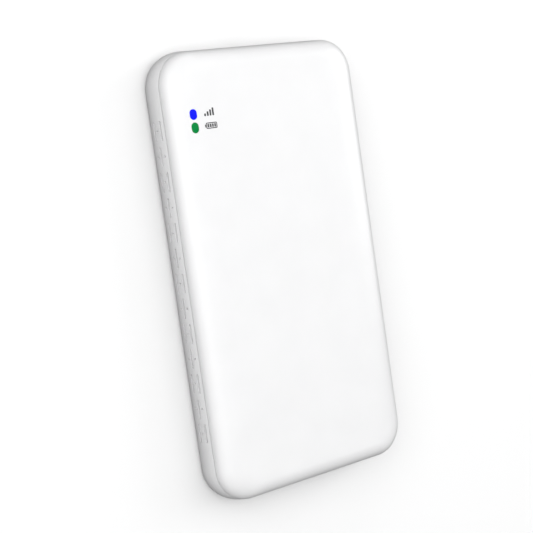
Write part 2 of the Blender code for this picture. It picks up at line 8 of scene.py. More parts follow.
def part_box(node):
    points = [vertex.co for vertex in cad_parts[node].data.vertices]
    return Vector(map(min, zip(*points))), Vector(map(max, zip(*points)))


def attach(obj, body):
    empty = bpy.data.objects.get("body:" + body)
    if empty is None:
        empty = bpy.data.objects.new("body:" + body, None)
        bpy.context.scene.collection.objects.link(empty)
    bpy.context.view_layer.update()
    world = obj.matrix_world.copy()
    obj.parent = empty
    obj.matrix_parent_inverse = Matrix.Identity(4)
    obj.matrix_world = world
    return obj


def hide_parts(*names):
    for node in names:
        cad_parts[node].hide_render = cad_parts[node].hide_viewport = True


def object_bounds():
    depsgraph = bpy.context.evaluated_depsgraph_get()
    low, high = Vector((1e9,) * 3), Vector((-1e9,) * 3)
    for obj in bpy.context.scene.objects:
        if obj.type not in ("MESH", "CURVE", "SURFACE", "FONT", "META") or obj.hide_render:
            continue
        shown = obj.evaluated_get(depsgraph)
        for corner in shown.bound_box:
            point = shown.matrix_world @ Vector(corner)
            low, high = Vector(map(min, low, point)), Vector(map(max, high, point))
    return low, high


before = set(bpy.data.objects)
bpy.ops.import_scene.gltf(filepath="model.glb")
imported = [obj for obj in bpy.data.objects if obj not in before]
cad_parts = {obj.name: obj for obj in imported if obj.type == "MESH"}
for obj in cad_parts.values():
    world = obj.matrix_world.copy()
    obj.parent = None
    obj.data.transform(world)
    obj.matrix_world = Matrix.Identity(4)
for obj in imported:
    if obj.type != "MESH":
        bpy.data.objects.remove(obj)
cad_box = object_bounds()


# ---- Rear shell ----
# The tray that everything is fitted into, injection moulded in white ABS about 1.6 mm thick. Its wall
# curves in towards the back face, vents run along both long walls, and the +Y wall holds the ports.

case_high = cad_box[1]
half_width = case_high.x
half_length = case_high.y
case_top = case_high.z
tongue_depth = 0.0007
parting_gap = 0.0003
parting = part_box("front_cover")[0].z + tongue_depth - parting_gap / 2
corner_radius = 0.0103
corner_segments = 14
curve_steps = 16
widest_level = 0.0056
seam_steps = 6
seam_inset = 0.00032
wall = 0.0016
skin = 0.0014
back_curve = 0.0024
rim_chamfer = 0.00003
seam_half_width = 0.00007
seam_groove = 0.0006
floor_curve = 0.0020
floor_curve_level = 0.0038

ALONG_X = Matrix.Rotation(math.radians(90), 4, "Y")
ALONG_Y = Matrix.Rotation(math.radians(-90), 4, "X")
ALONG_Z = Matrix.Identity(4)
white_plastic = (0.83, 0.83, 0.835)


def rounded_face(bm, half_x, half_y, radius, level, segments):
    """One flat face with round corners, about the Z axis, at a level."""
    before = set(bm.faces)
    size = Matrix.Diagonal((half_x, half_y, 1.0, 1.0))
    place = Matrix.Translation((0.0, 0.0, level)) @ size
    grid = bmesh.ops.create_grid(bm, x_segments=1, y_segments=1, size=1.0, matrix=place)
    bmesh.ops.bevel(
        bm,
        geom=grid["verts"],
        offset=radius,
        segments=segments,
        profile=0.5,
        affect="VERTICES",
        clamp_overlap=False,
        material=-1,
    )
    return next(face for face in bm.faces if face not in before)


def lofted(bm, rings, place=(0.0, 0.0, 0.0), turn=ALONG_Z, segments=5):
    """A closed solid, extruded from ring to ring. A ring is (half_x, half_y, radius, level)."""
    start = set(bm.verts)
    face = first = rounded_face(bm, *rings[0], segments)
    for before, after in zip(rings, rings[1:]):
        grown = bmesh.ops.extrude_face_region(bm, geom=[face])["geom"]
        if face is not first:
            bmesh.ops.delete(bm, geom=[face], context="FACES_ONLY")
        face = next(part for part in grown if isinstance(part, bmesh.types.BMFace))
        for vert in face.verts:
            for axis in (0, 1):
                side = math.copysign(1.0, vert.co[axis])
                turned = (vert.co[axis] - side * (before[axis] - before[2])) / before[2]
                vert.co[axis] = side * (after[axis] - after[2]) + turned * after[2]
            vert.co.z = after[3]
    made = [vert for vert in bm.verts if vert not in start]
    bmesh.ops.transform(bm, matrix=Matrix.Translation(place) @ turn, verts=made)
    return made


nearly_round = 0.9999
least_radius = 0.00001


def prism(bm, size, radius, depth, place, turn=ALONG_Z, edge=0.0, segments=5):
    """A straight solid with round corners from place over depth. Its far end may have a soft edge."""
    half_x, half_y = size[0] / 2, size[1] / 2
    radius = min(radius, half_x * nearly_round, half_y * nearly_round)
    rings = [(half_x, half_y, radius, 0.0)]
    edge_steps = 3 if edge else 0
    for step in range(edge_steps + 1):
        angle = math.pi / 2 * step / max(edge_steps, 1)
        inset = edge * (1 - math.cos(angle))
        level = depth - edge + edge * math.sin(angle)
        rings.append((half_x - inset, half_y - inset, max(radius - inset, least_radius), level))
    return lofted(bm, rings, place, turn, segments)


sharp_angle = math.radians(32.0)


def finished(name, bm):
    """The object of a bmesh, with its place in its mesh."""
    bmesh.ops.remove_doubles(bm, verts=bm.verts, dist=1e-7)
    bmesh.ops.recalc_face_normals(bm, faces=bm.faces)
    mesh = bpy.data.meshes.new(name)
    bm.to_mesh(mesh)
    bm.free()
    mesh.shade_smooth()
    mesh.set_sharp_from_angle(angle=sharp_angle)
    piece = bpy.data.objects.new(name, mesh)
    bpy.context.scene.collection.objects.link(piece)
    return piece


def worked(piece, bm, operation="DIFFERENCE"):
    """Cuts the shape in bm out of a piece, or joins it on, and keeps the resulting mesh."""
    tool = finished("tool", bm)
    step = piece.modifiers.new("step", "BOOLEAN")
    step.operation = operation
    step.solver = "EXACT"
    step.object = tool
    solved = piece.evaluated_get(bpy.context.evaluated_depsgraph_get())
    shaped = bpy.data.meshes.new_from_object(solved)
    piece.modifiers.clear()
    piece.data = shaped
    bpy.data.objects.remove(tool, do_unlink=True)
    shaped.shade_smooth()
    shaped.set_sharp_from_angle(angle=sharp_angle)


def linked(tree, kind, inputs=None, **settings):
    """A node of a material, with the sockets that are linked or set."""
    node = tree.nodes.new(kind)
    for name, value in settings.items():
        setattr(node, name, value)
    for socket, value in (inputs or {}).items():
        if isinstance(value, bpy.types.NodeSocket):
            tree.links.new(value, node.inputs[socket])
        else:
            node.inputs[socket].default_value = value
    return node


def surface(name, colour, roughness, metallic=0.0, **extra):
    """A Principled material, its shader, and its Object coordinates."""
    made = bpy.data.materials.new(name)
    made.use_nodes = True
    tree = made.node_tree
    shader = tree.nodes["Principled BSDF"]
    shader.inputs["Base Color"].default_value = (*colour, 1.0)
    shader.inputs["Roughness"].default_value = roughness
    shader.inputs["Metallic"].default_value = metallic
    for socket, value in extra.items():
        shader.inputs[socket.replace("_", " ")].default_value = value
    return made, tree, shader, tree.nodes.new("ShaderNodeTexCoord").outputs["Object"]


def mottled(tree, shader, where, colour, spread, scale, stretch=(1.0, 1.0, 1.0)):
    """Soft differences of shade over a surface, as pigment, plating or print has."""
    placed = linked(tree, "ShaderNodeMapping", {"Vector": where, "Scale": stretch})
    shape = {"Vector": placed.outputs[0], "Scale": scale, "Detail": 3.0}
    cloud = linked(tree, "ShaderNodeTexNoise", shape)
    ramp = linked(tree, "ShaderNodeValToRGB", {"Fac": cloud.outputs["Fac"]})
    stops = ramp.color_ramp.elements
    stops[0].position, stops[1].position = 0.3, 0.7
    stops[0].color = (*(part * (1 - spread) for part in colour), 1.0)
    stops[1].color = (*(min(part * (1 + spread), 1.0) for part in colour), 1.0)
    tree.links.new(ramp.outputs["Color"], shader.inputs["Base Color"])


def textured(tree, shader, where, roughness, spread, scale, depth, stretch=(1.0, 1.0, 1.0)):
    """Fine grain that moves both the roughness and the height of a surface."""
    placed = linked(tree, "ShaderNodeMapping", {"Vector": where, "Scale": stretch})
    shape = {"Vector": placed.outputs[0], "Scale": scale, "Detail": 4.0}
    grain = linked(tree, "ShaderNodeTexNoise", shape).outputs["Fac"]
    span = {"Value": grain, "To Min": roughness - spread, "To Max": roughness + spread}
    dull = linked(tree, "ShaderNodeMapRange", span)
    tree.links.new(dull.outputs["Result"], shader.inputs["Roughness"])
    bump = linked(tree, "ShaderNodeBump", {"Height": grain, "Strength": 0.5, "Distance": depth})
    tree.links.new(bump.outputs["Normal"], shader.inputs["Normal"])


def moulded(name, colour, roughness, grain_scale=2600.0, grain_depth=0.000004, **extra):
    """Injection-moulded plastic: an even colour, and the fine grain that the tool leaves."""
    made, tree, shader, where = surface(name, colour, roughness, **extra)
    mottled(tree, shader, where, colour, 0.012, 90.0)
    textured(tree, shader, where, roughness, 0.04, grain_scale, grain_depth)
    return made


def dressed(material, *names):
    """Gives CAD nodes their material."""
    for name in names:
        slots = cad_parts[name].data.materials
        slots.clear()
        slots.append(material)


def fitted(piece, material, body, slot, *nodes):
    """Gives a new piece its material and its body, and hides the CAD nodes it stands for. The slot is
    not used.
    """
    piece.data.materials.clear()
    piece.data.materials.append(material)
    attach(piece, body)
    if nodes:
        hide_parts(*nodes)


case_white = moulded("white_case_plastic", white_plastic, 0.30)

# The outside leaves the back in a quarter of an ellipse, is widest below the middle, and leans in a
# little up to the rim. Behind the rim's lip a groove makes the parting line dark.
profile = []
for step in range(curve_steps + 1):
    angle = math.pi / 2 * (1 - step / curve_steps)
    profile.append((back_curve * (1 - math.cos(angle)), widest_level * (1 - math.sin(angle))))
rim = parting - seam_half_width
for step in range(1, seam_steps + 1):
    share = step / seam_steps
    profile.append((seam_inset * share**2, widest_level + (rim - rim_chamfer - widest_level) * share))
profile += [
    (seam_inset + rim_chamfer, rim),
    (seam_inset + 2 * rim_chamfer, rim - seam_groove),
    (seam_inset + seam_groove, rim - seam_groove),
    (seam_inset + seam_groove, rim),
    (wall, rim),
    (wall, floor_curve_level),
    (wall + floor_curve * 0.25, skin + floor_curve * 0.4),
    (wall + floor_curve, skin),
]
rings = []
for inset, level in profile:
    rings.append((half_width - inset, half_length - inset, corner_radius - inset, level))
bm = bmesh.new()
lofted(bm, rings, segments=corner_segments)


def divided(bm, place, normal):
    """Adds edges where a plane crosses the faces."""
    geometry = [*bm.verts, *bm.edges, *bm.faces]
    bmesh.ops.bisect_plane(bm, geom=geometry, dist=1e-7, plane_co=place, plane_no=normal)


# Edges across the long walls keep the shading of each wall even between one vent and the next.
vent_columns = 13
vent_pitch = 0.0070
vent_rows = (0.0040, 0.0054, 0.0068)
vent_slot = 0.0055
vent_width = 0.0007
vent_reach = half_width * 1.05
for column in range(vent_columns + 1):
    across = (column - vent_columns / 2) * vent_pitch
    divided(bm, (0.0, across, 0.0), (0.0, 1.0, 0.0))
rear_shell = finished("rear_shell_moulding", bm)

bm = bmesh.new()
for column in range(vent_columns):
    for row, height in enumerate(vent_rows):
        length = vent_slot if (column + row) % 2 == 0 else vent_width
        place = (-vent_reach, ((vent_columns - 1) / 2 - column) * vent_pitch, height)
        prism(bm, (vent_width, length), vent_width / 2, 2 * vent_reach, place, ALONG_X, segments=3)
worked(rear_shell, bm)

# Posts for the screws: two carry the board, two more carry board and frame, two carry the frame.
post_radius = 0.0022
post_hole_radius = 0.0011
post_hole_depth = 0.0038
post_gap = 0.0003
post_edge = 0.0002
cut_past = 0.0010
board_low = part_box("main_board")[0].z
plate_thickness = 0.0010
plate_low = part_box("mid_frame")[1].z - plate_thickness
posts = []
for name in sorted(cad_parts):
    if "screw" in name:
        low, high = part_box(name)
        on_board = name.startswith("board") or low.y > 0
        posts.append(((low + high) / 2, (board_low if on_board else plate_low) - post_gap))
bm = bmesh.new()
for middle, top in posts:
    foot = (middle.x, middle.y, skin / 2)
    size = (2 * post_radius, 2 * post_radius)
    prism(bm, size, post_radius, top - skin / 2, foot, edge=post_edge, segments=6)
worked(rear_shell, bm, "UNION")
bm = bmesh.new()
for middle, top in posts:
    foot = (middle.x, middle.y, top - post_hole_depth)
    size = (2 * post_hole_radius, 2 * post_hole_radius)
    prism(bm, size, post_hole_radius, post_hole_depth + cut_past, foot, segments=4)
worked(rear_shell, bm)

# Openings in the +Y wall flare a little at their outer edge.
port_play = 0.00016
port_flare = 0.00022
port_flare_depth = 0.0006
port_flare_end = 0.0001
pinhole_play = 0.00005


def port_opening(bm, low, high, play=port_play):
    """Adds the round-ended cutter of an opening that clears a box by the play."""
    half_x = (high.x - low.x) / 2 + play
    half_z = (high.z - low.z) / 2 + play
    wide_x, wide_z = half_x + port_flare, half_z + port_flare
    middle = (low + high) / 2
    start = half_length - wall - cut_past
    depth = half_length - start
    rings = [
        (half_x, half_z, half_z, 0.0),
        (half_x, half_z, half_z, depth - port_flare_depth),
        (wide_x, wide_z, wide_z, depth + port_flare_end),
        (wide_x, wide_z, wide_z, depth + cut_past),
    ]
    lofted(bm, rings, (middle.x, start, middle.z), ALONG_Y, segments=8)


bm = bmesh.new()
usb_low, usb_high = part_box("usb_c_shell")
port_opening(bm, usb_low, usb_high)
power_low, power_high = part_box("power_button_cap")
power_middle = (power_low + power_high) / 2
power_face = Vector((0.0043, 0.0, 0.0013))
port_opening(bm, power_middle - power_face, power_middle + power_face)
reset_low, reset_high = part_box("reset_plunger")
port_opening(bm, reset_low, reset_high, pinhole_play)
tray_low, tray_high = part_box("sim_tray")
port_opening(bm, tray_low, tray_high)
worked(rear_shell, bm)

# A recess under the tray's door for a fingernail, and a shallow one in the back for the label.
bm = bmesh.new()
nail_size = (0.0060, 0.0026)
nail_depth = 0.0010
nail_place = ((tray_low.x + tray_high.x) / 2, half_length - nail_depth, tray_low.z)
prism(bm, nail_size, nail_size[1] / 2, nail_depth + cut_past, nail_place, ALONG_Y, segments=6)
label_low, label_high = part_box("rating_label")
label_middle = (label_low + label_high) / 2
label_size = (label_high.x - label_low.x, label_high.y - label_low.y)
recess_play = 0.0003
recess_size = (label_size[0] + 2 * recess_play, label_size[1] + 2 * recess_play)
recess_radius = 0.0015
recess_depth = 0.00035
recess_place = (label_middle.x, label_middle.y, -cut_past)
prism(bm, recess_size, recess_radius, cut_past + recess_depth, recess_place)
worked(rear_shell, bm)
fitted(rear_shell, case_white, "case", "case_white", "rear_shell")


# ---- Rating label ----
# A blank matt film with an adhesive back, die cut with round corners and rolled into its recess. Thin
# grey rules are printed along its edge; it bears no words.

label_radius = 0.0012
label_edge = 0.00003
label_depth = label_high.z - label_low.z
label_place = (label_middle.x, label_middle.y, label_high.z)
label_turn = Matrix.Rotation(math.pi, 4, "X")
bm = bmesh.new()
prism(bm, label_size, label_radius, label_depth, label_place, label_turn, edge=label_edge)
label = finished("rating_label_film", bm)
label_grey = (0.70, 0.70, 0.71)
label_film, tree, shader, where = surface("label_film_print", label_grey, 0.55)
mottled(tree, shader, where, label_grey, 0.02, 400.0)
textured(tree, shader, where, 0.55, 0.08, 5200.0, 0.000003)
fitted(label, label_film, "case", "label_film", "rating_label")

rule_inset = 0.0016
rule_width = 0.00018
rule_depth = 0.00002
rules_radius = 0.0010
field_radius = 0.0006
field_depth = 0.0010
rules_size = (label_size[0] - 2 * rule_inset, label_size[1] - 2 * rule_inset)
rules_place = (label_middle.x, label_middle.y, label_low.z)
bm = bmesh.new()
prism(bm, rules_size, rules_radius, rule_depth, rules_place, label_turn)
rules = finished("label_rules", bm)
field_heights = (0.20, 0.25, 0.30, 0.25)
bm = bmesh.new()
top = 0.5
for share in field_heights:
    field = (rules_size[0] - 2 * rule_width, share * rules_size[1] - 2 * rule_width)
    middle = label_middle.y + (top - share / 2) * rules_size[1]
    place = (label_middle.x, middle, label_low.z + field_depth / 2)
    prism(bm, field, field_radius, field_depth, place, label_turn, segments=3)
    top -= share
worked(rules, bm)
ink_grey = (0.10, 0.10, 0.11)
ink, tree, shader, where = surface("grey_print_ink", ink_grey, 0.45)
mottled(tree, shader, where, ink_grey, 0.10, 3000.0)
fitted(rules, ink, "case", "label_film")


# ---- Front cover ----
# The second half of the case, moulded in the same white ABS. It is flat in the middle, rolls down wide
# along the long sides and tighter at the ends, and locates in the rear shell by a tongue.

side_curve = 0.0124
side_fullness = 2.35
end_curve = 0.0053
end_fullness = 2.0
flat_radius = 0.0012
ink_room = 0.00005
flat_top = case_top - ink_room
rise = flat_top - parting
tongue_out = wall + 0.0003
tongue_in = tongue_out + 0.0008
ceiling = case_top - skin


def cover_height(x):
    """Height of the cover's outer face on its long sides."""
    inset = half_width - abs(x)
    if inset >= side_curve:
        return flat_top
    share = ((side_curve - inset) / (side_curve - seam_inset)) ** side_fullness
    return parting + rise * (1 - share) ** (1 / side_fullness)


def cover_ring(side_inset, end_inset, level):
    """One ring of the cover. The corners of its flat part are nearly square."""
    radius = max(corner_radius - (side_inset + end_inset) / 2, flat_radius)
    return (half_width - side_inset, half_length - end_inset, radius, level)


rings = []
front_steps = 26
foot = parting + seam_half_width
for step in range(front_steps + 1):
    angle = math.pi / 2 * (1 - step / front_steps)
    height = math.sin(angle) ** (2 / side_fullness)
    across = 1 - max(math.cos(angle), 0.0) ** (2 / side_fullness)
    along = 1 - (1 - height**end_fullness) ** (1 / end_fullness)
    side_inset = seam_inset + (side_curve - seam_inset) * across
    end_inset = seam_inset + (end_curve - seam_inset) * along
    if height < 1e-9:
        height = rim_chamfer / rise
    rings.append(cover_ring(side_inset, end_inset, foot + (flat_top - foot) * height))
cover_edge = seam_inset + rim_chamfer
rings.append(cover_ring(cover_edge, cover_edge, foot))
rings.append(cover_ring(tongue_out, tongue_out, foot))
rings.append(cover_ring(tongue_out, tongue_out, foot - tongue_depth))
rings.append(cover_ring(tongue_in, tongue_in, foot - tongue_depth))
inner_steps = 8
inner_rise = 0.0005
inner_end_curve = end_curve + 0.0010
inner_foot = foot + inner_rise
for step in range(inner_steps + 1):
    angle = math.pi / 2 * step / inner_steps
    level = inner_foot + (ceiling - inner_foot) * math.sin(angle)
    spread = 1 - math.cos(angle)
    side_inset = tongue_in + (side_curve - tongue_in) * spread
    end_inset = tongue_in + (inner_end_curve - tongue_in) * spread
    rings.append(cover_ring(side_inset, end_inset, level))
bm = bmesh.new()
lofted(bm, rings, segments=corner_segments)

lamps = {name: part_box(f"{name}_light_guide") for name in ("signal", "battery")}
window_margin = 0.0006
window_edges = [low.y - window_margin for low, high in lamps.values()]
window_edges += [high.y + window_margin for low, high in lamps.values()]
for across in window_edges:
    divided(bm, (0.0, across, 0.0), (0.0, 1.0, 0.0))
cover = finished("front_cover_moulding", bm)

window_play = 0.00004
window_start = 0.0020
window_depth = 0.0060
bm = bmesh.new()
for low, high in lamps.values():
    size = (high.x - low.x + 2 * window_play, high.y - low.y + 2 * window_play)
    middle = (low + high) / 2
    place = (middle.x, middle.y, ceiling - window_start)
    prism(bm, size, size[0] / 2, window_depth, place, segments=8)
worked(cover, bm)
fitted(cover, case_white, "case", "case_white", "front_cover")


# ---- Lamp windows ----
# Two light guides, cast in tinted clear acrylic, carry the light of the diodes up through the cover.
# Their ends follow the slope of the cover and stand a hair above it.

lens_proud = 0.00003
lens_edge = 0.00010
slope_span = 0.001
lens_colours = {"signal": (0.004, 0.008, 0.80), "battery": (0.0008, 0.22, 0.045)}
lens_slots = {"signal": "blue_lens", "battery": "green_lens"}
lens_glow = {"signal": 0.20, "battery": 0.02}
for name, (low, high) in lamps.items():
    middle = (low + high) / 2
    size = (high.x - low.x, high.y - low.y)
    top = cover_height(middle.x) + lens_proud
    slope = cover_height(middle.x + slope_span) - cover_height(middle.x - slope_span)
    slope /= 2 * slope_span
    bm = bmesh.new()
    place = (middle.x, middle.y, low.z)
    prism(bm, size, size[0] / 2, top - low.z, place, edge=lens_edge, segments=10)
    for vert in bm.verts:
        if vert.co.z > ceiling:
            vert.co.z += slope * (vert.co.x - middle.x)
    lens = finished(f"{name}_lamp_lens", bm)
    colour = lens_colours[name]
    tint, tree, shader, where = surface(f"{name}_tinted_acrylic", colour, 0.22)
    shader.inputs["Emission Color"].default_value = (*colour, 1.0)
    shader.inputs["Emission Strength"].default_value = lens_glow[name]
    shader.inputs["Specular IOR Level"].default_value = 0.08
    mottled(tree, shader, where, colour, 0.06, 900.0)
    textured(tree, shader, where, 0.22, 0.03, 3000.0, 0.000001)
    fitted(lens, tint, "case", lens_slots[name], f"{name}_light_guide")


# ---- Printed marks ----
# Pad-printed dark ink, a few hundredths of a millimetre thick: four rising bars beside the signal lamp
# and the outline of a battery with its charge beside the battery lamp.

mark_depth = 0.00003
mark_step = 0.0002


def printed(name, bm, colour):
    """Lays flat shapes on the cover, and gives them the ink."""
    across = [vert.co.x for vert in bm.verts]
    for step in range(1, math.ceil((max(across) - min(across)) / mark_step)):
        cut = min(across) + step * mark_step
        divided(bm, (cut, 0.0, 0.0), (1.0, 0.0, 0.0))
    for vert in bm.verts:
        vert.co.z += cover_height(vert.co.x)
    mark = finished(name, bm)
    made, tree, shader, where = surface(f"{name}_ink", colour, 0.42)
    mottled(tree, shader, where, colour, 0.12, 2400.0)
    textured(tree, shader, where, 0.42, 0.05, 5000.0, 0.000002)
    fitted(mark, made, "case", "frame_dark")


signal_foot = 0.04430
bar_width = 0.00056
bar_pitch = 0.00092
bar_start = -0.02462
bar_heights = (0.00075, 0.00125, 0.00170, 0.00215)
bar_radius = 0.00018
bm = bmesh.new()
for number, height in enumerate(bar_heights):
    place = (bar_start + number * bar_pitch, signal_foot + height / 2, 0.0)
    prism(bm, (bar_width, height), bar_radius, mark_depth, place, segments=3)
printed("signal_mark", bm, (0.030, 0.030, 0.034))

battery_middle = Vector((-0.02290, 0.04165, 0.0))
battery_size = (0.00380, 0.00170)
battery_line = 0.00026
battery_radius = 0.00035
inner_radius = 0.00020
cell_count = 4
cell_pitch = 0.00078
cell_width = 0.00056
cell_gap = 0.00013
cell_radius = 0.00010
terminal_size = (0.00030, 0.00080)
terminal_radius = 0.00012
terminal_offset = battery_size[0] / 2 + 0.00022
bm = bmesh.new()
prism(bm, battery_size, battery_radius, mark_depth, (0.0, 0.0, 0.0), segments=4)
outline = finished("battery_outline", bm)
inner = (battery_size[0] - 2 * battery_line, battery_size[1] - 2 * battery_line)
bm = bmesh.new()
prism(bm, inner, inner_radius, cut_past, (0.0, 0.0, -cut_past / 2), segments=4)
worked(outline, bm)
bm = bmesh.new()
bm.from_mesh(outline.data)
bpy.data.objects.remove(outline, do_unlink=True)
for number in range(cell_count):
    place = ((number - (cell_count - 1) / 2) * cell_pitch, 0.0, 0.0)
    prism(bm, (cell_width, inner[1] - 2 * cell_gap), cell_radius, mark_depth, place, segments=2)
place = (-terminal_offset, 0.0, 0.0)
prism(bm, terminal_size, terminal_radius, mark_depth, place, segments=2)
bmesh.ops.translate(bm, verts=bm.verts, vec=battery_middle)
printed("battery_mark", bm, (0.070, 0.070, 0.075))


# ---- USB-C receptacle ----
# The shell is drawn from stainless sheet 0.3 mm thick and has a rolled lip. Inside it stands a black
# polymer tongue with twelve gold-plated contacts on each face. Both are reflowed onto the board.

usb_sheet = 0.0003
usb_back = usb_sheet
usb_middle = (usb_low + usb_high) / 2
usb_half = (usb_high - usb_low) / 2
lip_steps = 6
rings = [(usb_half.x, usb_half.z, usb_half.z * nearly_round, 0.0)]
for step in range(lip_steps + 1):
    angle = math.pi * step / lip_steps
    inset = usb_sheet / 2 * (1 - math.cos(angle))
    level = 2 * usb_half.y - usb_sheet / 2 * (1 - math.sin(angle))
    rings.append((usb_half.x - inset, usb_half.z - inset, usb_half.z - inset, level))
rings.append((usb_half.x - usb_sheet, usb_half.z - usb_sheet, usb_half.z - usb_sheet, usb_back))
bm = bmesh.new()
lofted(bm, rings, (usb_middle.x, usb_low.y, usb_middle.z), ALONG_Y, segments=8)
usb_shell = finished("usb_c_drawn_shell", bm)


def metal(name, colour, roughness, stretch=(1.0, 1.0, 1.0), scale=1800.0, depth=0.000002):
    """Bare or plated metal, with the fine marks of drawing, stamping or plating."""
    made, tree, shader, where = surface(name, colour, roughness, 1.0)
    mottled(tree, shader, where, colour, 0.05, 260.0, stretch)
    textured(tree, shader, where, roughness, 0.07, scale, depth, stretch)
    return made


port_steel = metal("drawn_stainless_steel", (0.58, 0.58, 0.60), 0.24, (4.0, 0.3, 4.0))
fitted(usb_shell, port_steel, "case", "port_steel", "usb_c_shell")

tongue_low, tongue_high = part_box("usb_c_tongue")
blade_size = (0.0067, 0.0007)
blade_edge = 0.00012
block_size = (0.0076, 0.0020)
block_radius = 0.0009
block_depth = 0.0012
block_place = (usb_middle.x, tongue_low.y, usb_middle.z)
blade_place = (usb_middle.x, tongue_low.y + block_depth / 2, usb_middle.z)
bm = bmesh.new()
prism(bm, block_size, block_radius, block_depth, block_place, ALONG_Y, edge=blade_edge)
tongue = finished("usb_c_contact_tongue", bm)
bm = bmesh.new()
blade_length = tongue_high.y - blade_place[1]
prism(bm, blade_size, blade_edge, blade_length, blade_place, ALONG_Y, edge=blade_edge)
worked(tongue, bm, "UNION")
contact_black = moulded("black_glass_filled_polymer", (0.012, 0.012, 0.013), 0.42)
fitted(tongue, contact_black, "case", "contact_black", "usb_c_tongue")

contacts_in_row = 12
contact_pitch = 0.0005
contact_size = (0.00026, 0.00004)
contact_radius = 0.00001
contact_rise = 0.00001
contact_length = 0.0034
power_contact_length = 0.0040
power_contacts = (0, 3, 8, 11)
contact_end = tongue_high.y - 0.00035
bm = bmesh.new()
for side in (-1, 1):
    for number in range(contacts_in_row):
        across = (number - (contacts_in_row - 1) / 2) * contact_pitch
        length = power_contact_length if number in power_contacts else contact_length
        height = usb_middle.z + side * (blade_size[1] / 2 + contact_rise)
        place = (usb_middle.x + across, contact_end - length, height)
        prism(bm, contact_size, contact_radius, length, place, ALONG_Y, segments=1)
contacts = finished("usb_c_contacts", bm)
gold_plating = metal("gold_plating", (0.90, 0.62, 0.25), 0.20, (3.0, 0.4, 3.0))
fitted(contacts, gold_plating, "case", "antenna_copper")


# ---- Power button and reset switch ----
# The button is a white moulded cap, its flange held behind the wall; its face is a little hollow for the
# fingertip. It presses the plunger of a board switch. The reset switch is reached through a pinhole.

cap_half = (power_high - power_low) / 2
cap_depth = 2 * cap_half.y
flange_depth = 0.0008
flange_edge = 0.0001
face_round = 0.00028
face_steps = 5
hollow = ((0.00045, 0.00002), (0.00065, 0.00007), (0.00090, 0.00010))
levels = [
    (cap_half, flange_edge, 0.0),
    (cap_half, 0.0, flange_edge),
    (cap_half, 0.0, flange_depth - flange_edge),
    (cap_half, flange_edge, flange_depth),
    (power_face, 0.0, flange_depth),
]
for step in range(face_steps + 1):
    angle = math.pi / 2 * step / face_steps
    level = cap_depth - face_round * (1 - math.sin(angle))
    levels.append((power_face, face_round * (1 - math.cos(angle)), level))
levels += [(power_face, inset, cap_depth - sunk) for inset, sunk in hollow]
rings = []
for half, inset, level in levels:
    radius = (half.z - inset) * (1.0 if rings else nearly_round)
    rings.append((half.x - inset, half.z - inset, radius, level))
bm = bmesh.new()
lofted(bm, rings, (power_middle.x, power_low.y, power_middle.z), ALONG_Y, segments=8)
power_cap = finished("power_button_moulding", bm)
fitted(power_cap, case_white, "power_button", "case_white", "power_button_cap")

chip_black = moulded("black_epoxy", (0.018, 0.018, 0.020), 0.55, 3800.0, 0.000006)
dressed(chip_black, "power_switch", "reset_switch")
plunger_black = moulded("black_acetal", (0.020, 0.020, 0.022), 0.32)
dressed(plunger_black, "power_switch_plunger", "reset_plunger")


# ---- SIM tray ----
# A white moulded drawer with a door of the wall's colour. The card lies in its pocket with the gold
# contacts up, over a window, and both slide into a socket folded from steel sheet.

door_start = half_length - wall - 0.0005
door_edge = 0.00022
door_depth = tray_high.y - door_start
door_size = (tray_high.x - tray_low.x, tray_high.z - tray_low.z)
tray_x = (tray_low.x + tray_high.x) / 2
tray_z = (tray_low.z + tray_high.z) / 2
door_place = (tray_x, door_start, tray_z)
bm = bmesh.new()
prism(bm, door_size, door_size[1], door_depth, door_place, ALONG_Y, edge=door_edge, segments=8)
drawer = finished("sim_tray_moulding", bm)
frame_low = 0.0043
frame_height = 0.0010
frame_floor = 0.0002
frame_end = door_start + 0.0004
frame_size = (0.0114, frame_end - tray_low.y)
frame_radius = 0.0008
frame_edge = 0.00012
frame_place = (tray_x, (tray_low.y + frame_end) / 2, frame_low)
bm = bmesh.new()
prism(bm, frame_size, frame_radius, frame_height, frame_place, edge=frame_edge)
worked(drawer, bm, "UNION")
card_low, card_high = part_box("sim_card")
card_middle = (card_low + card_high) / 2
card_play = 0.0003
card_ledge = 0.0012
card_size = (card_high.x - card_low.x, card_high.y - card_low.y)
pocket = (card_size[0] + 2 * card_play, card_size[1] + 2 * card_play)
pocket_radius = 0.0004
window = (card_size[0] - 2 * card_ledge, card_size[1] - 2 * card_ledge)
window_radius = 0.0008
cutter_depth = 0.0020
bm = bmesh.new()
place = (card_middle.x, card_middle.y, frame_low + frame_floor)
prism(bm, pocket, pocket_radius, cutter_depth, place, segments=3)
worked(drawer, bm)
bm = bmesh.new()
place = (card_middle.x, card_middle.y, frame_low - cutter_depth / 4)
prism(bm, window, window_radius, cutter_depth, place, segments=3)
worked(drawer, bm)
fitted(drawer, case_white, "sim_tray", "case_white", "sim_tray")

card_white = moulded("white_card_plastic", (0.78, 0.78, 0.76), 0.42, 1600.0)
dressed(card_white, "sim_card")
pad_size = (0.0024, 0.0016)
pad_pitch = (0.0034, 0.0020)
pad_depth = 0.00004
pad_radius = 0.0003
bm = bmesh.new()
for column in (-0.5, 0.5):
    for row in (-1.5, -0.5, 0.5, 1.5):
        pad_x = card_middle.x + column * pad_pitch[0]
        pad_y = card_middle.y + row * pad_pitch[1]
        place = (pad_x, pad_y, card_high.z - pad_depth / 2)
        prism(bm, pad_size, pad_radius, pad_depth, place, segments=3)
pads = finished("sim_card_pads", bm)
fitted(pads, gold_plating, "sim_tray", "antenna_copper")

tin_grey = (0.60, 0.60, 0.59)
shield_steel = metal("tinned_steel_sheet", tin_grey, 0.34, scale=1200.0, depth=0.000003)
dressed(shield_steel, "sim_socket")


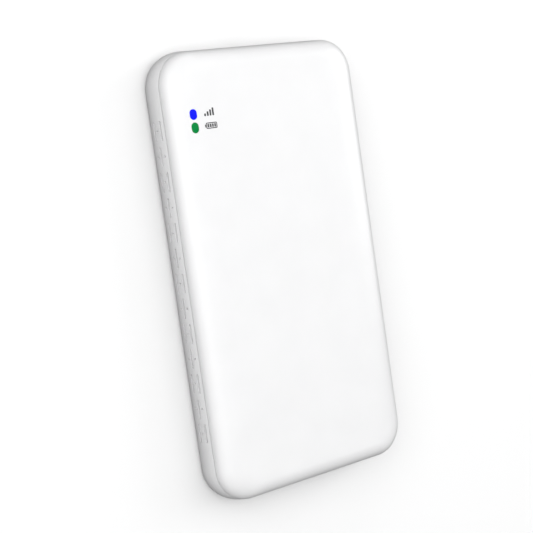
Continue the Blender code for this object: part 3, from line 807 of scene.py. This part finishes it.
# ---- Main board ----
# A six-layer board under green solder mask. Two tinned steel lids screen the radio chips, which are
# black epoxy packages, and the two lamps are white packages with a clear resin top.

mask_green = (0.012, 0.110, 0.040)
board_green, tree, shader, where = surface("green_solder_mask", mask_green, 0.30)
mottled(tree, shader, where, mask_green, 0.35, 420.0, (1.0, 0.12, 1.0))
textured(tree, shader, where, 0.30, 0.08, 900.0, 0.000015, (0.15, 1.0, 1.0))
dressed(board_green, "main_board")
dressed(shield_steel, "modem_shield", "wifi_shield")
dressed(chip_black, "baseband_chip", "memory_chip", "power_amplifier", "wifi_chip", "charger_chip")
lamp_package = moulded("white_lamp_package", (0.80, 0.78, 0.66), 0.38, 4200.0)
dressed(lamp_package, "signal_lamp", "battery_lamp")


# ---- Battery ----
# A lithium pouch cell in aluminium laminate, held by double-sided tape, with its protection board on the
# sealed end. Two tinned copper leads in silicone insulation end in a small white plug.

foil_colour = (0.66, 0.67, 0.68)
cell_foil, tree, shader, where = surface("aluminium_laminate", foil_colour, 0.38, 0.9)
mottled(tree, shader, where, foil_colour, 0.04, 60.0)
textured(tree, shader, where, 0.38, 0.06, 220.0, 0.000040)
dressed(cell_foil, "battery_cell")
tape_colour = (0.72, 0.68, 0.52)
adhesive_tape, tree, shader, where = surface("double_sided_tape", tape_colour, 0.48)
mottled(tree, shader, where, tape_colour, 0.05, 500.0)
textured(tree, shader, where, 0.48, 0.05, 1400.0, 0.000008)
dressed(adhesive_tape, "battery_tape")
dressed(board_green, "battery_protection_board")
dressed(contact_black, "battery_socket")
dressed(card_white, "battery_plug")
insulation = {
    "battery_lead_red": moulded("red_silicone_insulation", (0.50, 0.012, 0.010), 0.40, 2000.0),
    "battery_lead_black": moulded("black_silicone_insulation", (0.016, 0.016, 0.017), 0.40, 2000.0),
}
for name, material in insulation.items():
    dressed(material, name)


# ---- Mid frame and foam ----
# A tray of dark grey glass-filled nylon carries the antennas over board and cell. Black open-cell foam
# presses on the cell, and a gasket of the same foam keeps the two lamps' light apart.

frame_dark = moulded("dark_glass_filled_nylon", (0.060, 0.062, 0.066), 0.52, 1500.0, 0.000010)
dressed(frame_dark, "mid_frame")
foam_colour = (0.020, 0.020, 0.022)
black_foam, tree, shader, where = surface("black_open_cell_foam", foam_colour, 0.92)
mottled(tree, shader, where, foam_colour, 0.30, 1800.0)
pores = linked(tree, "ShaderNodeTexVoronoi", {"Vector": where, "Scale": 2600.0})
pore_depth = 0.0001
shape = {"Height": pores.outputs["Distance"], "Strength": 0.9, "Distance": pore_depth}
dents = linked(tree, "ShaderNodeBump", shape)
tree.links.new(dents.outputs["Normal"], shader.inputs["Normal"])
dressed(black_foam, "cell_foam_pad", "lamp_gasket")


# ---- Screws ----
# Self-tapping screws of bright steel, cold headed, with a cross recess and a rolled thread. Two hold
# the board to its posts, and four hold the mid frame.

screw_steel = metal("bright_screw_steel", (0.50, 0.50, 0.51), 0.30, (1.0, 1.0, 0.5), 2400.0)
dressed(screw_steel, *(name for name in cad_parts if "screw" in name))


# ---- Antennas and coaxial leads ----
# The antennas are copper on a thin flexible film, stuck to the mid frame. Two thin coaxial leads with
# snap-on plugs join two of them to the board, and a gold-plated spring touches the third.

copper_colour = (0.72, 0.38, 0.22)
antenna_copper, tree, shader, where = surface("printed_copper_film", copper_colour, 0.32, 0.85)
mottled(tree, shader, where, copper_colour, 0.10, 160.0, (1.0, 0.4, 1.0))
textured(tree, shader, where, 0.32, 0.06, 1600.0, 0.000003)
dressed(antenna_copper, "main_antenna", "diversity_antenna", "wifi_antenna")
dressed(gold_plating, "diversity_contact", "main_coax_plug", "wifi_coax_plug")
dressed(insulation["battery_lead_black"], "main_coax", "wifi_coax")


# ---- Floor, lights and camera ----
# A plain white floor under soft studio light. The floor throws back less light than it shows, so that
# the sides of the white case keep their shading, and it can be looked through from below.

floor_half = 0.9
floor_drop = 0.0001
bm = bmesh.new()
bmesh.ops.create_grid(bm, x_segments=1, y_segments=1, size=floor_half)
bmesh.ops.translate(bm, verts=bm.verts, vec=(0.0, 0.0, -floor_drop))
floor = finished("studio_floor", bm)
floor_white = (0.92, 0.92, 0.92)
floor_paper, tree, shader, where = surface("floor_paper", floor_white, 0.9)
shader.inputs["Specular IOR Level"].default_value = 0.1
mottled(tree, shader, where, floor_white, 0.003, 6.0)
bounce_grey = (0.12, 0.12, 0.12, 1.0)
bounce = linked(tree, "ShaderNodeBsdfDiffuse", {"Color": bounce_grey})
seen = linked(tree, "ShaderNodeLightPath").outputs["Is Camera Ray"]
lit = linked(tree, "ShaderNodeMixShader", {0: seen, 1: bounce.outputs[0], 2: shader.outputs[0]})
below = linked(tree, "ShaderNodeNewGeometry").outputs["Backfacing"]
clear = linked(tree, "ShaderNodeBsdfTransparent")
sides = linked(tree, "ShaderNodeMixShader", {0: below, 1: lit.outputs[0], 2: clear.outputs[0]})
tree.links.new(sides.outputs[0], tree.nodes["Material Output"].inputs["Surface"])
floor.data.materials.append(floor_paper)

# The studio is bright on the left, less so on the right, and dark in front of the object.
even_light = 0.20
left_light = 0.94
right_light = 0.30
world = bpy.data.worlds.new("studio")
bpy.context.scene.world = world
world.use_nodes = True
tree = world.node_tree
away = linked(tree, "ShaderNodeTexCoord").outputs["Generated"]
part = linked(tree, "ShaderNodeSeparateXYZ", {"Vector": away})
share = {"Value": part.outputs["X"], "From Min": -1.0, "From Max": 0.0}
left = linked(tree, "ShaderNodeMapRange", {**share, "To Min": left_light, "To Max": 0.0})
right = linked(tree, "ShaderNodeMath", {0: part.outputs["X"], 1: 0.0}, operation="MAXIMUM")
share = {0: right.outputs[0], 1: right_light, 2: even_light}
right = linked(tree, "ShaderNodeMath", share, operation="MULTIPLY_ADD")
total = linked(tree, "ShaderNodeMath", {0: left.outputs[0], 1: right.outputs[0]}, operation="ADD")
backdrop = tree.nodes["Background"]
backdrop.inputs["Color"].default_value = (1.0, 1.0, 1.0, 1.0)
tree.links.new(total.outputs[0], backdrop.inputs["Strength"])

light_distance = 0.85
light_size = 0.5


def softbox(name, azimuth, elevation, power):
    """A square area light turned to the object. Azimuth 0 is +X."""
    light = bpy.data.lights.new(name, "AREA")
    light.size = light_size
    light.energy = power
    around, up = math.radians(azimuth), math.radians(elevation)
    level = math.cos(up)
    place = light_distance * Vector((level * math.cos(around), level * math.sin(around), math.sin(up)))
    lamp = bpy.data.objects.new(name, light)
    lamp.location = place
    lamp.rotation_euler = place.to_track_quat("Z", "Y").to_euler()
    bpy.context.scene.collection.objects.link(lamp)


softbox("overhead_softbox", 0, 90, 0.68)
softbox("left_softbox", 160, 40, 1.55)
softbox("high_left_softbox", 180, 60, 1.52)
softbox("corner_softbox", 120, 30, 0.62)
softbox("back_softbox", 45, 60, 0.75)
softbox("right_softbox", 0, 50, 0.53)
softbox("low_right_softbox", 10, 22, 2.00)
softbox("low_back_softbox", 80, 12, 0.94)

camera = bpy.data.cameras.new("camera")
camera.sensor_width = 36.0
camera.lens = 99.07
camera.clip_start = 0.01
camera.clip_end = 20.0
viewer = bpy.data.objects.new("camera", camera)
viewer.location = (-0.26940, 0.03304, 0.33146)
viewer.rotation_euler = [math.radians(angle) for angle in (2.191, -39.314, -10.593)]
bpy.context.scene.collection.objects.link(viewer)
bpy.context.scene.camera = viewer
bpy.context.scene.view_settings.view_transform = "Standard"
